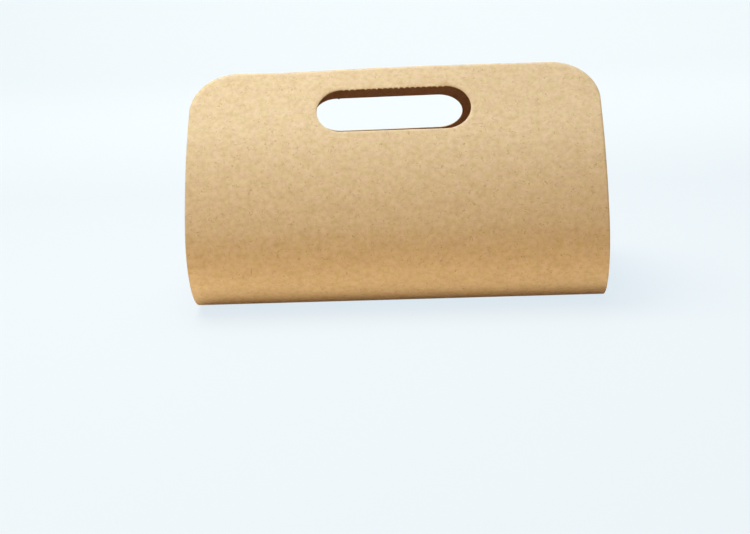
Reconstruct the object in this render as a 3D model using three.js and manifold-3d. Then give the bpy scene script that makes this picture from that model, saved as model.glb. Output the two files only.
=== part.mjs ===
// Paper cup holder: one die-cut sheet of brown kraft card, rolled up into a loop.
// Its flat bottom has two round cup holes. The front and back rise as panels that lean together
// overhead, and a hand goes through the slot near the end of each.
// Millimetres, +Z up, +X to the right, -Y to the front. The origin is on the underside of the
// sheet, midway between the two cup holes.

import * as THREE from "three";
import { mergeVertices } from "three/addons/utils/BufferGeometryUtils.js";
import Module from "manifold-3d";

const wasm = await Module();
wasm.setup();

const degree = Math.PI / 180;

// The card
const cardThickness = 0.6;
const kraftBrown = 0xcfae80;

// The sheet as it is cut, lying flat
const cupHoleDiameter = 81;
const holeWeb = 30; // card left between the two cup holes
const sideMargin = 24; // card left between a cup hole and the side edge
const endLength = 210; // from the line through the cup holes to the front or back end
const cornerRadius = 27.5;
const cupHolePitch = cupHoleDiameter + holeWeb;
const sheetWidth = cupHolePitch + cupHoleDiameter + 2 * sideMargin;

// The hand slots, one near each end
const slotLength = 90;
const slotHeight = 29.5;
const slotToEnd = 15;

// The stubs that a torn perforation leaves along a slot's side nearest the end
const stubPitch = 3.23;
const stubWidth = 1.3;
const stubTipWidth = 0.65;
const stubHeight = 0.6;

// How the sheet is rolled, a little tighter and further over at the back than at the front
const frontFlat = 31; // the bottom that lies flat, from the line through the cup holes
const backFlat = 38;
const frontRollRadius = 40;
const backRollRadius = 29;
const frontRollAngle = 110 * degree;
const backRollAngle = 133.5 * degree;
const bowLength = 61; // the gently curved stretch between the roll and the straight end
const frontEndY = -7.5; // where the front end's edge comes to, just over the back end's
const endInset = 1.5; // how far the back end's edge stays in front of the front end's
const backSkew = -4.5; // how far sideways the back end was rolled off line

// How finely curves are faceted, and how close two points are one
const facetLength = 3;
const holeSides = 72;
const arcSides = 14;
const holeCapRings = 6;
const samePoint = 1e-4;

// How the bow that closes the loop is searched for
const tightestBow = 1 / bowLength;
const bowSolvingSteps = 40;

// A cutter stands this far out of both faces of the sheet
const cutterReach = 3;

// One side of the loop as a run of stretches from the cup holes' line to its end,
// each with its length and its curvature
function sideOfLoop(flatLength, rollRadius, rollAngle, bowCurvature) {
  return [
    { length: flatLength, curvature: 0 },
    { length: rollRadius * rollAngle, curvature: 1 / rollRadius },
    { length: bowLength, curvature: bowCurvature },
    { length: Infinity, curvature: 0 },
  ];
}

// Where the outer face is after a distance along one side, and which way it heads there:
// 0 is level and outwards, and the heading grows as the card turns up and over
function walk(side, distance) {
  let outwards = 0;
  let up = 0;
  let heading = 0;
  let left = distance;
  for (const { length, curvature } of side) {
    const step = Math.min(length, left);
    const halfTurn = (step * curvature) / 2;
    const chord = halfTurn === 0 ? step : (step * Math.sin(halfTurn)) / halfTurn;
    outwards += chord * Math.cos(heading + halfTurn);
    up += chord * Math.sin(heading + halfTurn);
    heading += 2 * halfTurn;
    left -= step;
  }
  return { outwards, up, heading };
}

// The side whose bow brings its end's edge to a given distance outwards, found by halving
function sideEndingAt(endOutwards, flatLength, rollRadius, rollAngle) {
  let slack = -tightestBow;
  let tight = tightestBow;
  for (let step = 0; step < bowSolvingSteps; step += 1) {
    const middle = (slack + tight) / 2;
    const end = walk(sideOfLoop(flatLength, rollRadius, rollAngle, middle), endLength);
    if (end.outwards > endOutwards) slack = middle;
    else tight = middle;
  }
  return sideOfLoop(flatLength, rollRadius, rollAngle, (slack + tight) / 2);
}

const backEndY = frontEndY - endInset;
const frontSide = sideEndingAt(-frontEndY, frontFlat, frontRollRadius, frontRollAngle);
const backSide = sideEndingAt(backEndY, backFlat, backRollRadius, backRollAngle);

// How far the roll has drifted sideways at a place along the sheet: not at all as far as the
// cup holes reach, then smoothly to the full skew at the back end
function skewAt(along) {
  const start = cupHoleDiameter / 2;
  return backSkew * THREE.MathUtils.smoothstep(along, start, endLength);
}

// Rolls a flat geometry up with the sheet. In it X runs across the sheet, Y along it with 0 at
// the cup holes and the front end negative, and Z inwards from the outer face.
function roll(geometry) {
  const places = geometry.getAttribute("position");
  for (let i = 0; i < places.count; i += 1) {
    const along = places.getY(i);
    const inwards = places.getZ(i);
    const direction = along < 0 ? -1 : 1;
    const at = walk(along < 0 ? frontSide : backSide, Math.abs(along));
    const outwards = at.outwards - inwards * Math.sin(at.heading);
    const up = at.up + inwards * Math.cos(at.heading);
    places.setXYZ(i, places.getX(i) + skewAt(along), direction * outwards, up);
  }
  return geometry;
}

// A closed geometry as a solid that can be joined and cut
function solidOf(geometry) {
  geometry.deleteAttribute("normal");
  geometry.deleteAttribute("uv");
  const merged = mergeVertices(geometry, samePoint);
  return new wasm.Manifold(
    new wasm.Mesh({
      numProp: 3,
      vertProperties: merged.getAttribute("position").array,
      triVerts: new Uint32Array(merged.index.array),
    }),
  );
}

function geometryOf(solid) {
  const { vertProperties, triVerts } = solid.getMesh();
  const geometry = new THREE.BufferGeometry();
  geometry.setAttribute("position", new THREE.BufferAttribute(vertProperties, 3));
  geometry.setIndex(new THREE.BufferAttribute(triVerts, 1));
  geometry.computeVertexNormals();
  return geometry;
}

// The whole sheet before anything is cut out of it
function blankSheet() {
  const facets = Math.round((2 * endLength) / facetLength);
  const sheet = new THREE.BoxGeometry(sheetWidth, 2 * endLength, cardThickness, 1, facets, 1);
  sheet.translate(0, 0, cardThickness / 2);
  return solidOf(roll(sheet));
}

// The punch for one cup hole: a disc whose faces have rings of points, so that they follow
// the curve of the card where the hole runs up into the rolls
function cupHolePunch(x) {
  const radius = cupHoleDiameter / 2;
  const rings = Array.from({ length: holeCapRings + 1 }, (_, i) => (radius * i) / holeCapRings);
  const outerFace = rings.map((r) => new THREE.Vector2(r, -cutterReach));
  const innerFace = rings.reverse().map((r) => new THREE.Vector2(r, cardThickness + cutterReach));
  const disc = new THREE.LatheGeometry([...outerFace, ...innerFace], holeSides);
  disc.rotateX(Math.PI / 2);
  disc.translate(x, 0, 0);
  return solidOf(roll(disc));
}

// A punch with a given outline in the flat sheet, for where the card is almost straight
function punch(outline) {
  const depth = cardThickness + 2 * cutterReach;
  const prism = new THREE.ExtrudeGeometry(outline, {
    depth,
    bevelEnabled: false,
    curveSegments: arcSides,
  });
  prism.translate(0, 0, -cutterReach);
  return solidOf(roll(prism));
}

// Where stubs are left along a hand slot, from right to left: in a row along the front one,
// and only the last of such a row on the back one
function stubPlaces(end) {
  const stubs = Math.floor((slotLength - slotHeight - stubWidth) / stubPitch) + 1;
  const row = Array.from({ length: stubs }, (_, i) => ((stubs - 1) / 2 - i) * stubPitch);
  return end < 0 ? row : row.slice(-1);
}

// The outline of a hand slot: round ends, a clean side towards the cup holes, and any stubs
// on the side towards the sheet's end. `end` is -1 at the front and 1 at the back.
function slotOutline(end) {
  const radius = slotHeight / 2;
  const straight = slotLength / 2 - radius;
  const middle = endLength - slotToEnd - radius;
  const torn = middle + radius;
  const outline = new THREE.Shape();
  outline.absarc(straight, middle, radius, -Math.PI / 2, Math.PI / 2, false);
  for (const x of stubPlaces(end)) {
    outline.lineTo(x + stubWidth / 2, torn);
    outline.lineTo(x + stubTipWidth / 2, torn - stubHeight);
    outline.lineTo(x - stubTipWidth / 2, torn - stubHeight);
    outline.lineTo(x - stubWidth / 2, torn);
  }
  outline.absarc(-straight, middle, radius, Math.PI / 2, (3 * Math.PI) / 2, false);
  outline.closePath();
  return end > 0 ? outline : turnedToFront(outline);
}

// The same outline at the other end of the sheet
function turnedToFront(outline) {
  const points = outline.getPoints(arcSides);
  return new THREE.Shape(points.map(({ x, y }) => new THREE.Vector2(-x, -y)));
}

// What is trimmed off at a corner of the sheet: the outside of a quarter circle
function cornerOutline(side, end) {
  const x = sheetWidth / 2;
  const y = endLength;
  const outline = new THREE.Shape();
  outline.moveTo(side * (x - cornerRadius), end * (y + cutterReach));
  for (let i = 0; i <= arcSides; i += 1) {
    const angle = (Math.PI / 2) * (1 - i / arcSides);
    outline.lineTo(
      side * (x - cornerRadius * (1 - Math.cos(angle))),
      end * (y - cornerRadius * (1 - Math.sin(angle))),
    );
  }
  outline.lineTo(side * (x + cutterReach), end * (y - cornerRadius));
  outline.lineTo(side * (x + cutterReach), end * (y + cutterReach));
  outline.closePath();
  return outline;
}

function cardMaterial() {
  return new THREE.MeshStandardMaterial({ color: kraftBrown, roughness: 0.85, metalness: 0 });
}

// The sheet with its cup holes, hand slots and rounded corners cut out
function holderSheet() {
  let sheet = blankSheet();
  for (const side of [-1, 1]) {
    sheet = sheet.subtract(cupHolePunch((side * cupHolePitch) / 2));
  }
  for (const end of [-1, 1]) {
    sheet = sheet.subtract(punch(slotOutline(end)));
    for (const side of [-1, 1]) {
      sheet = sheet.subtract(punch(cornerOutline(side, end)));
    }
  }
  const mesh = new THREE.Mesh(geometryOf(sheet), cardMaterial());
  mesh.name = "holder_sheet";
  return mesh;
}

const holder = new THREE.Group();
holder.add(holderSheet());

export default holder;
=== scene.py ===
import math

import bpy
import numpy as np
from mathutils import Matrix, Vector, noise
from mathutils.geometry import delaunay_2d_cdt


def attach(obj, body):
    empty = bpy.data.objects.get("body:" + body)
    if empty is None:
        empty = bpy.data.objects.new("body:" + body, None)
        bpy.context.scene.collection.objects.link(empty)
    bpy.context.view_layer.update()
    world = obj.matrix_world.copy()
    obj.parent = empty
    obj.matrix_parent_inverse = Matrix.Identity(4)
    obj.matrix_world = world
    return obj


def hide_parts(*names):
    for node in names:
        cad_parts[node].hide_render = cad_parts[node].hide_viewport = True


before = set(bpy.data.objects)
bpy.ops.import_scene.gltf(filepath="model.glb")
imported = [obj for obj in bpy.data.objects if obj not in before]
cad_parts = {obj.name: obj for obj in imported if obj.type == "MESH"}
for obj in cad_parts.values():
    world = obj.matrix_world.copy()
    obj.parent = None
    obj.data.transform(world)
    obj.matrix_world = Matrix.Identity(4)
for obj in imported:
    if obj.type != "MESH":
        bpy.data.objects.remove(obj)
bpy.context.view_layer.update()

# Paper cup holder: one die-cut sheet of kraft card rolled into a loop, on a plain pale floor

MM = 0.001
DEGREE = math.pi / 180
NODE = "holder_sheet"

# The sheet as it is cut, as in the frame
CARD = 0.6 * MM
HOLE_RADIUS = 40.5 * MM
HOLE_PITCH = 111 * MM
SHEET_WIDTH = 240 * MM
END_LENGTH = 210 * MM
CORNER_RADIUS = 27.5 * MM
SLOT_LENGTH = 90 * MM
SLOT_HEIGHT = 29.5 * MM
SLOT_TO_END = 15 * MM
STUB_PITCH = 3.23 * MM
STUB_WIDTH = 1.3 * MM
STUB_HEIGHT = 0.6 * MM

# How it is rolled, as in the frame
FRONT_FLAT = 31 * MM
BACK_FLAT = 38 * MM
FRONT_ROLL_RADIUS = 40 * MM
BACK_ROLL_RADIUS = 29 * MM
FRONT_ROLL_ANGLE = 110 * DEGREE
BACK_ROLL_ANGLE = 133.5 * DEGREE
BOW_LENGTH = 61 * MM
FRONT_END_Y = -7.5 * MM
END_INSET = 1.5 * MM
BACK_SKEW = -4.5 * MM

# How finely the sheet is meshed
RULING_STEP = 2 * MM
ACROSS_STEP = 3 * MM
OUTLINE_STEP = 1.2 * MM
CLEAR_OF_OUTLINE = 1.1 * MM
SAME_POINT = 1e-7
BOW_SOLVING_STEPS = 40

# The cut edge of the card is very slightly crushed round
EDGE_ROUND = 0.11 * MM

# The two faces of the card have different fibres, so their UV maps lie this many metres apart
INNER_SHIFT = 1.0


# The rolled form

def side_of_loop(flat, roll_radius, roll_angle, bow_curvature):
    """The stretches from the cup holes' line to one end, each with its length and curvature."""
    return [
        (flat, 0.0),
        (roll_radius * roll_angle, 1 / roll_radius),
        (BOW_LENGTH, bow_curvature),
        (math.inf, 0.0),
    ]


def walk(side, distance):
    """Outwards, up and heading of the outer face after a distance along one side."""
    outwards = up = heading = 0.0
    left = distance
    for length, curvature in side:
        step = min(length, left)
        half_turn = step * curvature / 2
        chord = step if half_turn == 0 else step * math.sin(half_turn) / half_turn
        outwards += chord * math.cos(heading + half_turn)
        up += chord * math.sin(heading + half_turn)
        heading += 2 * half_turn
        left -= step
    return outwards, up, heading


def side_ending_at(end_outwards, *roll):
    """The side whose bow brings its end's edge to a given distance outwards, by halving."""
    slack, tight = -1 / BOW_LENGTH, 1 / BOW_LENGTH
    for _ in range(BOW_SOLVING_STEPS):
        middle = (slack + tight) / 2
        if walk(side_of_loop(*roll, middle), END_LENGTH)[0] > end_outwards:
            slack = middle
        else:
            tight = middle
    return side_of_loop(*roll, (slack + tight) / 2)


BACK_END_Y = FRONT_END_Y - END_INSET
FRONT_SIDE = side_ending_at(-FRONT_END_Y, FRONT_FLAT, FRONT_ROLL_RADIUS, FRONT_ROLL_ANGLE)
BACK_SIDE = side_ending_at(BACK_END_Y, BACK_FLAT, BACK_ROLL_RADIUS, BACK_ROLL_ANGLE)


def smooth(value, low, high):
    """0 up to low and 1 from high on, with an even rise between."""
    t = min(max((value - low) / (high - low), 0.0), 1.0)
    return t * t * (3 - 2 * t)


def skew_at(along):
    """How far the roll has drifted sideways at a place along the sheet."""
    return BACK_SKEW * smooth(along, HOLE_RADIUS, END_LENGTH)


# How far the card strays from the true roll, squarely outwards

STRAY = 0.35 * MM
STRAY_SCALE = 70 * MM
STRAY_SEED = 3.1
STRAY_START = 45 * MM
STRAY_FULL = 90 * MM

# The strip beyond the front slot bows out and has a dent, and the back end is slightly twisted

STRIP_FADE = 50 * MM
STRIP_BOW = 1.2 * MM
STRIP_BOW_AT = 30 * MM
STRIP_BOW_REACH = 75 * MM
STRIP_DENT = -0.9 * MM
STRIP_DENT_AT = -60 * MM
STRIP_DENT_REACH = 28 * MM
BACK_LIFT = 0.35 * MM
BACK_TWIST = 1.2 * MM


def swell(x, height, centre, reach):
    """A bump of a given height that dies away to both sides of its centre."""
    return height * math.exp(-(((x - centre) / reach) ** 2))


def stray(x, along):
    """Slow waves, none where the card lies flat, a bow and a dent in front, a twist behind."""
    free = smooth(abs(along), STRAY_START, STRAY_FULL)
    waves = noise.noise(Vector((x / STRAY_SCALE, along / STRAY_SCALE, STRAY_SEED)))
    strip = smooth(-along, END_LENGTH - STRIP_FADE, END_LENGTH)
    bowed = swell(x, STRIP_BOW, STRIP_BOW_AT, STRIP_BOW_REACH)
    dented = swell(x, STRIP_DENT, STRIP_DENT_AT, STRIP_DENT_REACH)
    behind = smooth(along, HOLE_RADIUS, END_LENGTH)
    twisted = BACK_LIFT + BACK_TWIST * x / (SHEET_WIDTH / 2)
    return free * STRAY * waves + strip * (bowed + dented) + behind * twisted


def rolled(x, along, inwards):
    """A place in the flat sheet, in the rolled form. inwards counts from the outer face."""
    side, direction = (FRONT_SIDE, -1) if along < 0 else (BACK_SIDE, 1)
    outwards, up, heading = walk(side, abs(along))
    depth = inwards - stray(x, along)
    outwards -= depth * math.sin(heading)
    up += depth * math.cos(heading)
    return Vector((x + skew_at(along), direction * outwards, up))


# The outlines in the flat sheet, as closed loops of (x, along), the card on their left

def arc(cx, cy, radius, start, end):
    """Points on an arc, with both of its ends."""
    count = max(2, round(abs(end - start) * radius / OUTLINE_STEP))
    angles = [start + (end - start) * i / count for i in range(count + 1)]
    return [(cx + radius * math.cos(a), cy + radius * math.sin(a)) for a in angles]


def line(start, end, step):
    """Points between two others, without them."""
    count = max(1, round(math.dist(start, end) / step))
    return [
        (start[0] + (end[0] - start[0]) * i / count, start[1] + (end[1] - start[1]) * i / count)
        for i in range(1, count)
    ]


def sheet_outline():
    """The outer outline, counter-clockwise, with its four round corners."""
    x, y, r = SHEET_WIDTH / 2 - CORNER_RADIUS, END_LENGTH - CORNER_RADIUS, CORNER_RADIUS
    loop = []
    for quarter, (cx, cy) in enumerate(((x, y), (-x, y), (-x, -y), (x, -y))):
        start = quarter * math.pi / 2
        corner = arc(cx, cy, r, start, start + math.pi / 2)
        if loop:
            loop += line(loop[-1], corner[0], RULING_STEP)
        loop += corner
    loop += line(loop[-1], loop[0], RULING_STEP)
    return loop


def cup_hole_outline(x):
    """A cup hole, clockwise."""
    return arc(x, 0.0, HOLE_RADIUS, 2 * math.pi, 0.0)[:-1]


def stub_places(straight, end):
    """Where stubs are left, from right to left: only the last of the row on the back slot."""
    count = int((2 * straight - STUB_WIDTH) / STUB_PITCH) + 1
    row = [((count - 1) / 2 - i) * STUB_PITCH for i in range(count)]
    return row if end < 0 else row[-1:]


# How much the stubs differ: their noise's rate per millimetre and seed, and its share in a size

TEAR_RATE, TEAR_SEED, TEAR_SHARE = 0.83, 0.5, 0.7
RAGGED_RATE, RAGGED_SEED, RAGGED_SHARE = 1.9, 7.5, 0.25


def torn_side(straight, torn, end):
    """The slot's side that tore free, from right to left: each stub tore a little differently."""
    points = []
    for x in stub_places(straight, end):
        tear = noise.noise(Vector((x / MM * TEAR_RATE, torn / MM, TEAR_SEED)))
        ragged = noise.noise(Vector((x / MM * RAGGED_RATE, torn / MM, RAGGED_SEED)))
        height = STUB_HEIGHT * (1 + TEAR_SHARE * tear)
        half = STUB_WIDTH / 2 * (1 + RAGGED_SHARE * ragged)
        points += [
            (x + half, torn),
            (x + half * 0.75, torn - height * 0.7),
            (x + half * 0.35, torn - height * (0.95 + 0.3 * ragged)),
            (x - half * 0.1, torn - height * 0.8),
            (x - half * 0.6, torn - height * (1.0 - 0.3 * ragged)),
            (x - half, torn),
        ]
    if end > 0:
        points = line((straight, torn), points[0], OUTLINE_STEP) + points
    return points


def slot_outline(end):
    """A hand slot, clockwise, with its torn side towards the end of the sheet."""
    radius = SLOT_HEIGHT / 2
    straight = SLOT_LENGTH / 2 - radius
    middle = END_LENGTH - SLOT_TO_END - radius
    right = arc(straight, middle, radius, -math.pi / 2, math.pi / 2)
    left = arc(-straight, middle, radius, math.pi / 2, 3 * math.pi / 2)
    loop = right + torn_side(straight, middle + radius, end) + left
    loop += line(left[-1], right[0], OUTLINE_STEP)
    loop.reverse()
    return loop if end > 0 else [(-x, -y) for x, y in loop]


def all_outlines():
    """The sheet's outline and then those of its openings."""
    holes = [cup_hole_outline(side * HOLE_PITCH / 2) for side in (-1, 1)]
    slots = [slot_outline(end) for end in (-1, 1)]
    return [sheet_outline()] + holes + slots


# The mesh of the sheet

def inside_loop(points, loop):
    """For each point, whether it lies inside the closed loop."""
    inside = np.zeros(len(points), bool)
    px, py = points[:, 0], points[:, 1]
    ends = np.roll(loop, -1, axis=0)
    for (ax, ay), (bx, by) in zip(loop, ends):
        crosses = (ay > py) != (by > py)
        if by != ay:
            inside ^= crosses & (px < ax + (py - ay) * (bx - ax) / (by - ay))
    return inside


def in_card(points, loops):
    """For each point, whether it lies in the first loop and in none of the others."""
    inside = inside_loop(points, loops[0])
    for hole in loops[1:]:
        inside &= ~inside_loop(points, hole)
    return inside


def inner_points(loops):
    """A grid of points on the card, clear of every outline."""
    xs = np.arange(-SHEET_WIDTH / 2, SHEET_WIDTH / 2, ACROSS_STEP) + ACROSS_STEP / 2
    ys = np.arange(-END_LENGTH, END_LENGTH + RULING_STEP / 2, RULING_STEP)
    grid = np.array([(x, y) for y in ys for x in xs])
    edge = np.concatenate(loops)
    nearest = np.array([np.min(np.hypot(*(edge - p).T)) for p in grid])
    return grid[in_card(grid, loops) & (nearest > CLEAR_OF_OUTLINE)]


def flat_mesh():
    """Points, triangles and boundary loops (as point indices) of the flat sheet."""
    loops = [np.array(loop) for loop in all_outlines()]
    points, edges, rims = [], [], []
    for loop in loops:
        first = len(points)
        rim = list(range(first, first + len(loop)))
        points += [Vector(p) for p in loop]
        edges += list(zip(rim, rim[1:] + rim[:1]))
        rims.append(rim)
    points += [Vector(p) for p in inner_points(loops)]
    # 0 asks for all triangles within the points' hull, and True for the points they came from
    made = delaunay_2d_cdt(points, edges, [], 0, SAME_POINT, True)
    vertices, _, faces, origins = made[:4]
    new_index = {old: new for new, olds in enumerate(origins) for old in olds}
    triangles = np.array(faces)
    flat = np.array([tuple(v) for v in vertices])
    keep = in_card(flat[triangles].mean(axis=1), loops)
    rims = [[new_index[i] for i in rim] for rim in rims]
    return flat, triangles[keep], rims


def rim_pull(flat, rims):
    """Unit vectors from each outline point into the card."""
    pull = {}
    for rim in rims:
        for before, here, after in zip(rim[-1:] + rim[:-1], rim, rim[1:] + rim[:1]):
            run = flat[after] - flat[before]
            run /= np.hypot(*run)
            pull[here] = np.array((-run[1], run[0]))
    return pull


def sheet_mesh():
    """The closed mesh of the sheet. Its UV map holds places in the flat sheet, in metres."""
    flat, triangles, rims = flat_mesh()
    pull = rim_pull(flat, rims)
    vertices, uvs = [], []

    def add(index, inset, inwards, shift):
        """Adds a flat point at a depth, moved a little into the card, and gives its index."""
        x, y = flat[index] + inset * pull.get(index, np.zeros(2))
        vertices.append(rolled(x, y, inwards))
        uvs.append((x + shift, y))
        return len(vertices) - 1

    outer = [add(i, EDGE_ROUND, 0.0, 0.0) for i in range(len(flat))]
    inner = [add(i, EDGE_ROUND, CARD, INNER_SHIFT) for i in range(len(flat))]
    faces = [(outer[c], outer[b], outer[a]) for a, b, c in triangles]
    faces += [(inner[a], inner[b], inner[c]) for a, b, c in triangles]
    for rim in rims:
        upper = [outer[i] for i in rim]
        rows = [upper]
        for depth in (EDGE_ROUND, CARD - EDGE_ROUND):
            rows.append([add(i, 0.0, depth, 0.0) for i in rim])
        rows.append([inner[i] for i in rim])
        for above, below in zip(rows, rows[1:]):
            for k in range(len(rim)):
                n = (k + 1) % len(rim)
                faces.append((above[k], above[n], below[n], below[k]))
    mesh = bpy.data.meshes.new("kraft_sheet")
    mesh.from_pydata(vertices, [], faces)
    layer = mesh.uv_layers.new(name="flat_sheet")
    for loop in mesh.loops:
        layer.data[loop.index].uv = uvs[loop.vertex_index]
    # The outer face's triangles come first and have material 0, then the inner face's, then edges
    for polygon in mesh.polygons:
        polygon.use_smooth = True
        polygon.material_index = min(polygon.index // len(triangles), 2)
    mesh.validate()
    return mesh


# Materials

def node(tree, kind, **inputs):
    """A new node, with some of its inputs set by name."""
    made = tree.nodes.new(kind)
    for name, value in inputs.items():
        made.inputs[name.replace("_", " ")].default_value = value
    return made


def link(tree, source, target):
    tree.links.new(source, target)


def sheet_noise(tree, place, per_metre, **settings):
    """Noise with so many features per metre of the flat sheet."""
    made = node(tree, "ShaderNodeTexNoise", Scale=per_metre, **settings)
    link(tree, place, made.inputs["Vector"])
    return made.outputs["Fac"]


def arithmetic(tree, operation, first, second):
    """The outcome of one operation on two numbers, each a value or a socket."""
    made = tree.nodes.new("ShaderNodeMath")
    made.operation = operation
    for socket, value in zip(made.inputs, (first, second)):
        if isinstance(value, bpy.types.NodeSocket):
            link(tree, value, socket)
        else:
            socket.default_value = value
    return made.outputs[0]


def ramp(tree, factor, stops):
    """A colour that depends on a factor, through stops given as (place, colour)."""
    made = tree.nodes.new("ShaderNodeValToRGB")
    elements = made.color_ramp.elements
    while len(elements) < len(stops):
        elements.new(0.5)
    for element, (place, colour) in zip(elements, stops):
        element.position = place
        element.color = (*colour, 1.0)
    link(tree, factor, made.inputs["Fac"])
    return made.outputs["Color"]


def mix(tree, factor, first, second, blend_type="MIX"):
    """A mix of two colours, each a value or a socket. Inputs 6 and 7 are those for colours."""
    made = tree.nodes.new("ShaderNodeMix")
    made.data_type = "RGBA"
    made.blend_type = blend_type
    pairs = ((made.inputs["Factor"], factor), (made.inputs[6], first), (made.inputs[7], second))
    for socket, value in pairs:
        if isinstance(value, bpy.types.NodeSocket):
            link(tree, value, socket)
        else:
            socket.default_value = value if isinstance(value, float) else (*value, 1.0)
    return made.outputs[2]


KRAFT_LIGHT = (0.64, 0.515, 0.31)
KRAFT_MID = (0.58, 0.455, 0.262)
KRAFT_DEEP = (0.485, 0.362, 0.188)
KRAFT_FIBRE = (0.35, 0.235, 0.11)
KRAFT_ROUGHNESS = 0.85
KRAFT_SPECULAR = 0.25
CLOUD_SHARE = 0.38
BUMP_STRENGTH = 0.3
BUMP_DISTANCE = 0.08 * MM
NO_PAINTED_SHADE = (1.0, 1.0, 1.0)
YELLOWISH = (1.0, 1.0, 0.94)
PINKISH = (1.015, 0.98, 1.02)
# Painted shade: the inner face is made darker and redder to stand in for the shade inside the loop
INNER_PAINTED_SHADE = (0.54, 0.35, 0.30)
# Painted shade: the cut edges are dimmed so the key lamp's highlight on them reads darker
EDGE_PAINTED_SHADE = (0.80, 0.76, 0.70)


def grey(value):
    return (value, value, value)


def fibres_and_specks(tree, place):
    """How dark the curled fibres and the specks are: fibres follow noise's mid-level in patches."""
    curls = sheet_noise(tree, place, 330, Detail=1.5, Roughness=0.5, Distortion=1.2)
    bare = sheet_noise(tree, place, 260, Detail=1.0, Roughness=0.5)
    specks = sheet_noise(tree, place, 800, Detail=1.0, Roughness=0.5)
    off_ridge = arithmetic(tree, "ABSOLUTE", arithmetic(tree, "SUBTRACT", curls, 0.5), 0.0)
    ridge = ramp(tree, off_ridge, [(0.0, grey(1.0)), (0.026, grey(0.0))])
    patch = ramp(tree, bare, [(0.50, grey(0.0)), (0.60, grey(0.85))])
    speck = ramp(tree, specks, [(0.70, grey(0.0)), (0.78, grey(0.8))])
    fibre = arithmetic(tree, "MULTIPLY", ridge, patch)
    return arithmetic(tree, "MAXIMUM", fibre, speck)


def kraft_material(name, painted_shade=NO_PAINTED_SHADE):
    """Unbleached board: a fine mottle, faint clouds, dark curled fibres and a few specks, then
    multiplied by a painted shade where one is given.
    """
    material = bpy.data.materials.new(name)
    material.use_nodes = True
    tree = material.node_tree
    shader = tree.nodes["Principled BSDF"]
    flat = node(tree, "ShaderNodeUVMap")
    flat.uv_map = "flat_sheet"
    place = flat.outputs["UV"]
    mottle = sheet_noise(tree, place, 330, Detail=3.5, Roughness=0.56)
    clouds = sheet_noise(tree, place, 130, Detail=3.0, Roughness=0.6)
    tints = sheet_noise(tree, place, 190, Detail=2.0, Roughness=0.5)
    shades = [(0.30, KRAFT_DEEP), (0.5, KRAFT_MID), (0.70, KRAFT_LIGHT)]
    colour = mix(tree, CLOUD_SHARE, ramp(tree, mottle, shades), ramp(tree, clouds, shades))
    tint = ramp(tree, tints, [(0.38, YELLOWISH), (0.62, PINKISH)])
    colour = mix(tree, 1.0, colour, tint, "MULTIPLY")
    colour = mix(tree, fibres_and_specks(tree, place), colour, KRAFT_FIBRE)
    # Painted shade multiplied in: the inner face darker and redder, the cut edges dimmed
    colour = mix(tree, 1.0, colour, painted_shade, "MULTIPLY")
    link(tree, colour, shader.inputs["Base Color"])
    shader.inputs["Roughness"].default_value = KRAFT_ROUGHNESS
    shader.inputs["Specular IOR Level"].default_value = KRAFT_SPECULAR
    bump = node(tree, "ShaderNodeBump", Strength=BUMP_STRENGTH, Distance=BUMP_DISTANCE)
    link(tree, mottle, bump.inputs["Height"])
    link(tree, bump.outputs["Normal"], shader.inputs["Normal"])
    return material


# The holder

def make_holder():
    """The one piece, with a material each for its outer face, inner face and cut edges; the inner
    face and the cut edges carry painted shade.
    """
    mesh = sheet_mesh()
    mesh.materials.append(kraft_material("kraft_face"))
    mesh.materials.append(kraft_material("kraft_inner_face_painted_shade", INNER_PAINTED_SHADE))
    mesh.materials.append(kraft_material("kraft_cut_edge_painted_shade", EDGE_PAINTED_SHADE))
    holder = bpy.data.objects.new("kraft_sheet", mesh)
    bpy.context.collection.objects.link(holder)
    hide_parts(NODE)
    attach(holder, "root")


# The stage

FLOOR_COLOUR = (0.776, 0.62, 0.44)
FLOOR_WHITE = (0.825, 0.935, 1.01)
FLOOR_EVENNESS = 0.85
FLOOR_ROUGHNESS = 0.6
FLOOR_SPECULAR = 0.2
FLOOR_HALF_WIDTH = 5.0
FLOOR_FRONT = -6.0
BACKDROP_DISTANCE = 1.6
BACKDROP_HEIGHT = 2.2
SWEEP_RADIUS = 0.5
SWEEP_STEPS = 16
SURROUND_COLOUR = (1.0, 0.45, 0.03)
SURROUND_STRENGTH = 0.13


def seen_directly(tree):
    """1 for rays by which the stage is seen, also in a mirror or through glass, 0 for its light."""
    path = tree.nodes.new("ShaderNodeLightPath")
    seen = path.outputs["Is Camera Ray"]
    for other in ("Is Glossy Ray", "Is Transmission Ray"):
        seen = arithmetic(tree, "MAXIMUM", seen, path.outputs[other])
    return seen


def blend(tree, share, first, second):
    """A mix of two shaders."""
    made = tree.nodes.new("ShaderNodeMixShader")
    link(tree, share, made.inputs[0])
    link(tree, first, made.inputs[1])
    link(tree, second, made.inputs[2])
    return made.outputs[0]


def stage_material():
    """A pale floor, seen mostly as an even white that keeps a part of its shadows."""
    material = bpy.data.materials.new("pale_floor")
    material.use_nodes = True
    tree = material.node_tree
    shader = tree.nodes["Principled BSDF"]
    shader.inputs["Base Color"].default_value = (*FLOOR_COLOUR, 1.0)
    shader.inputs["Roughness"].default_value = FLOOR_ROUGHNESS
    shader.inputs["Specular IOR Level"].default_value = FLOOR_SPECULAR
    white = node(tree, "ShaderNodeEmission", Color=(*FLOOR_WHITE, 1.0), Strength=1.0)
    share = arithmetic(tree, "MULTIPLY", seen_directly(tree), FLOOR_EVENNESS)
    shown = blend(tree, share, shader.outputs["BSDF"], white.outputs["Emission"])
    link(tree, shown, tree.nodes["Material Output"].inputs["Surface"])
    return material


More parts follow.
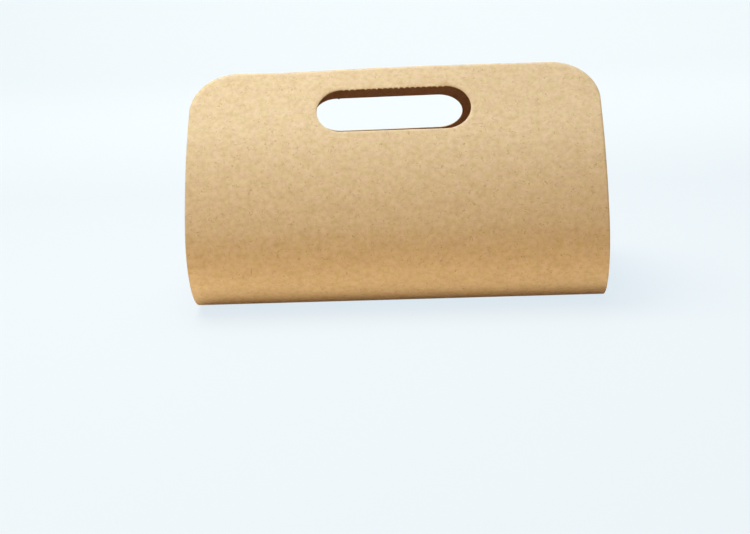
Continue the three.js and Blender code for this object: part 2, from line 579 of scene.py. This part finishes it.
def make_floor():
    """A wide pale sweep: a floor that curves up into a backdrop behind."""
    profile = [(FLOOR_FRONT, 0.0), (BACKDROP_DISTANCE - SWEEP_RADIUS, 0.0)]
    for i in range(1, SWEEP_STEPS + 1):
        a = math.pi / 2 * i / SWEEP_STEPS
        y = BACKDROP_DISTANCE - SWEEP_RADIUS * (1 - math.sin(a))
        profile.append((y, SWEEP_RADIUS * (1 - math.cos(a))))
    profile.append((BACKDROP_DISTANCE, BACKDROP_HEIGHT))
    sides = (-FLOOR_HALF_WIDTH, FLOOR_HALF_WIDTH)
    vertices = [(x, y, z) for y, z in profile for x in sides]
    faces = [(2 * i, 2 * i + 1, 2 * i + 3, 2 * i + 2) for i in range(len(profile) - 1)]
    mesh = bpy.data.meshes.new("floor")
    mesh.from_pydata(vertices, [], faces)
    for polygon in mesh.polygons:
        polygon.use_smooth = True
    mesh.materials.append(stage_material())
    floor = bpy.data.objects.new("floor", mesh)
    bpy.context.collection.objects.link(floor)


def area_light(name, place, target, size, power, colour):
    """A rectangular lamp, not seen by the camera, that faces a target."""
    data = bpy.data.lights.new(name, "AREA")
    data.shape = "RECTANGLE"
    data.size, data.size_y = size
    data.energy = power
    data.color = colour
    light = bpy.data.objects.new(name, data)
    light.location = place
    light.visible_camera = False
    aim = Vector(target) - Vector(place)
    light.rotation_mode = "QUATERNION"
    light.rotation_quaternion = aim.to_track_quat("-Z", "Y")
    bpy.context.collection.objects.link(light)


def make_lights():
    """Two cool softboxes overhead, warm and dimmer fills, and light on the backdrop."""
    middle = (0.0, 0.0, 0.08)
    foot = (0.03, -0.085, 0.002)
    above_foot = (0.03, -0.085, 1.0)
    behind = (0.0, BACKDROP_DISTANCE, 0.6)
    softbox = (0.8, 0.6)
    area_light("key_softbox", (-0.25, -0.05, 0.85), middle, softbox, 10.4, (0.89, 1.0, 1.06))
    area_light("rear_softbox", (-0.15, 0.3, 0.9), middle, softbox, 4.0, (0.9, 1.0, 1.5))
    area_light("front_fill", (-0.35, -1.2, 0.62), middle, softbox, 3.2, (1.0, 0.55, 0.2))
    area_light("floor_glow", foot, above_foot, (0.4, 0.04), 0.028, (1.0, 0.95, 0.85))
    area_light("backdrop_light", (0.0, 0.55, 0.9), behind, (2.0, 0.8), 30.0, (0.85, 1.0, 1.15))


def make_world():
    """A warm dim surrounding that looks as white as the floor where it is seen."""
    world = bpy.data.worlds.new("studio")
    bpy.context.scene.world = world
    world.use_nodes = True
    tree = world.node_tree
    surround = tree.nodes["Background"]
    surround.inputs["Color"].default_value = (*SURROUND_COLOUR, 1.0)
    surround.inputs["Strength"].default_value = SURROUND_STRENGTH
    white = node(tree, "ShaderNodeBackground", Color=(*FLOOR_WHITE, 1.0), Strength=1.0)
    shown = blend(tree, seen_directly(tree), surround.outputs[0], white.outputs[0])
    link(tree, shown, tree.nodes["World Output"].inputs["Surface"])


# The camera, placed as the photograph's was

CAMERA_PLACE = (20.57 * MM, -813.23 * MM, 226.86 * MM)
CAMERA_PITCH = 14.866 * DEGREE
CAMERA_YAW = -2.564 * DEGREE
CAMERA_ROLL = -2.344 * DEGREE
FOCAL_PIXELS = 1354
PHOTO_WIDTH = 750
SENSOR = 36
NEAREST, FARTHEST = 0.05, 20


def make_camera():
    """A camera of the photograph's focal length, turned by its yaw, pitch and roll."""
    data = bpy.data.cameras.new("camera")
    data.sensor_fit = "HORIZONTAL"
    data.sensor_width = SENSOR
    data.lens = FOCAL_PIXELS / PHOTO_WIDTH * SENSOR
    data.clip_start, data.clip_end = NEAREST, FARTHEST
    forward = Vector((
        math.sin(CAMERA_YAW) * math.cos(CAMERA_PITCH),
        math.cos(CAMERA_YAW) * math.cos(CAMERA_PITCH),
        -math.sin(CAMERA_PITCH),
    ))
    level = Vector((math.cos(CAMERA_YAW), -math.sin(CAMERA_YAW), 0.0))
    upright = level.cross(forward)
    right = math.cos(CAMERA_ROLL) * level + math.sin(CAMERA_ROLL) * upright
    up = math.cos(CAMERA_ROLL) * upright - math.sin(CAMERA_ROLL) * level
    turn = Matrix((right, up, -forward)).transposed()
    camera = bpy.data.objects.new("camera", data)
    camera.matrix_world = Matrix.Translation(CAMERA_PLACE) @ turn.to_4x4()
    bpy.context.collection.objects.link(camera)
    bpy.context.scene.camera = camera


make_camera()
make_holder()
make_floor()
make_lights()
make_world()
bpy.context.scene.view_settings.view_transform = "Standard"
